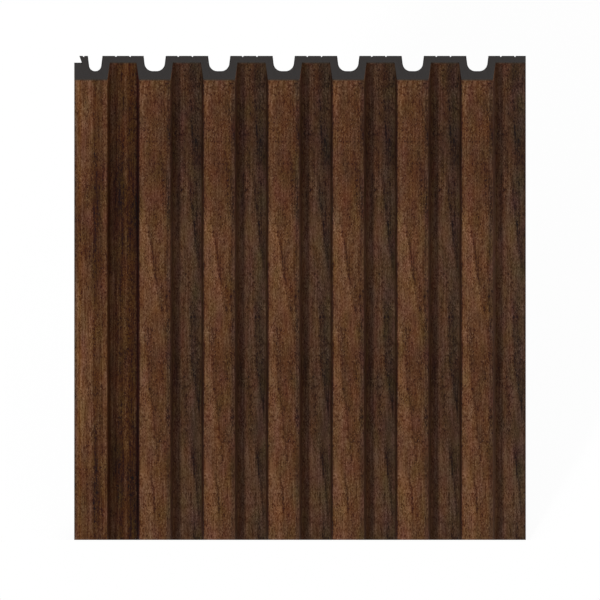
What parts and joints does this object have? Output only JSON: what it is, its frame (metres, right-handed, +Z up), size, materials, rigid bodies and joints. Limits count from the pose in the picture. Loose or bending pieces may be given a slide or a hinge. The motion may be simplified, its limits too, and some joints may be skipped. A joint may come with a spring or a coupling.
{
  "type": "slat wall panel",
  "caption": "Short length of extruded slat wall panel: hollow-backed slats under wood-print film, with a lap rebate on one long edge and a bare tongue on the other.",
  "frame": {"origin": "middle of the gluing plane at the back of the panel, where it meets the wall", "axes": "+Z up along the slats, +Y towards the wall, +X across the slats from the lap rebate to the tongue"},
  "size_m": [0.28, 0.0145, 0.3],
  "materials": {
    "foamed_core": "dark grey foamed plastic, matt, saw-cut at the ends",
    "decor_film": "walnut-look print on a thin satin film"
  },
  "bodies": {
    "root": {"profile_core": "foamed_core", "decor_film": "decor_film"}
  },
  "joints": []
}
